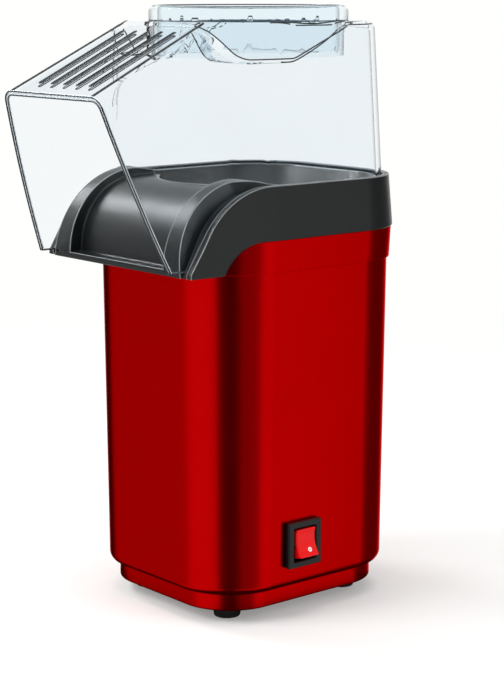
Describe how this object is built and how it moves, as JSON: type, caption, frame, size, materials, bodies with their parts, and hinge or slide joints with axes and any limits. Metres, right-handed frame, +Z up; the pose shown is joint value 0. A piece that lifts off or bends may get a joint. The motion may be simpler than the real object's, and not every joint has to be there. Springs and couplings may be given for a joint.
{
  "type": "hot-air popcorn maker",
  "caption": "Table-top hot-air popcorn maker: red drafted housing, black collar with a curved chute, clear hooded cover and a measuring cup in its top.",
  "frame": {"origin": "on the surface that the feet stand on, under the middle of the bounding box", "axes": "+Z up, -Y towards the chute at the front, +X towards the switch"},
  "size_m": [0.1038, 0.1539, 0.25],
  "materials": {
    "red_plastic": "deep red, glossy moulded plastic",
    "black_plastic": "satin black moulded plastic",
    "clear_plastic": "clear colourless plastic",
    "clear_cup": "clear plastic with a slight blue tint",
    "foot_rubber": "soft black rubber",
    "steel": "zinc plated steel",
    "chamber_aluminium": "spun aluminium",
    "tube_plastic": "heat-resistant moulding compound",
    "mica": "pressed mica board",
    "element_alloy": "resistance wire",
    "bush_bronze": "sintered bronze",
    "magnet": "ferrite",
    "circuit_board": "paper laminate",
    "seal_silicone": "heat-resistant silicone",
    "rocker_red": "glossy translucent red plastic"
  },
  "bodies": {
    "housing": {"outer_shell": "red_plastic", "shoulder_ring": "red_plastic", "base_plate": "red_plastic", "feet": "foot_rubber", "base_screws": "steel", "collar": "black_plastic", "popping_chamber": "chamber_aluminium", "chamber_seal": "seal_silicone", "heater_tube": "tube_plastic", "tube_screws": "steel", "heater_board_across": "mica", "heater_board_along": "mica", "heating_element": "element_alloy", "thermostat": "tube_plastic", "thermal_fuse": "steel", "motor_bracket": "steel", "motor_can": "steel", "motor_end_cap": "black_plastic", "upper_bush": "bush_bronze", "lower_bush": "bush_bronze", "motor_magnets": "magnet", "motor_screws": "steel", "rectifier_board": "circuit_board", "diodes": "black_plastic", "switch_frame": "black_plastic", "switch_tabs": "bush_bronze", "rocker_pin": "steel", "cord_gland": "black_plastic"},
    "cover": {"cover": "clear_plastic"},
    "cup": {"measuring_cup": "clear_cup"},
    "rocker_key": {"rocker": "rocker_red"},
    "rotor": {"motor_shaft": "steel", "armature": "steel", "fan": "black_plastic"}
  },
  "joints": [
    {"name": "cover_lift", "type": "slide", "parent": "housing", "child": "cover", "axis": [0, 0, 1], "range_m": [0, 0.08]},
    {"name": "cup_lift", "type": "slide", "parent": "cover", "child": "cup", "axis": [0, 0, 1], "range_m": [0, 0.04]},
    {"name": "rocker_tilt", "type": "hinge", "parent": "housing", "child": "rocker_key", "pos_m": [0.0475, 0.0122, 0.0315], "axis": [0, 1, 0], "range_deg": [0, 24]},
    {"name": "fan_spin", "type": "hinge", "parent": "housing", "child": "rotor", "pos_m": [0, 0.0212, 0.05], "axis": [0, 0, 1], "continuous": true}
  ]
}
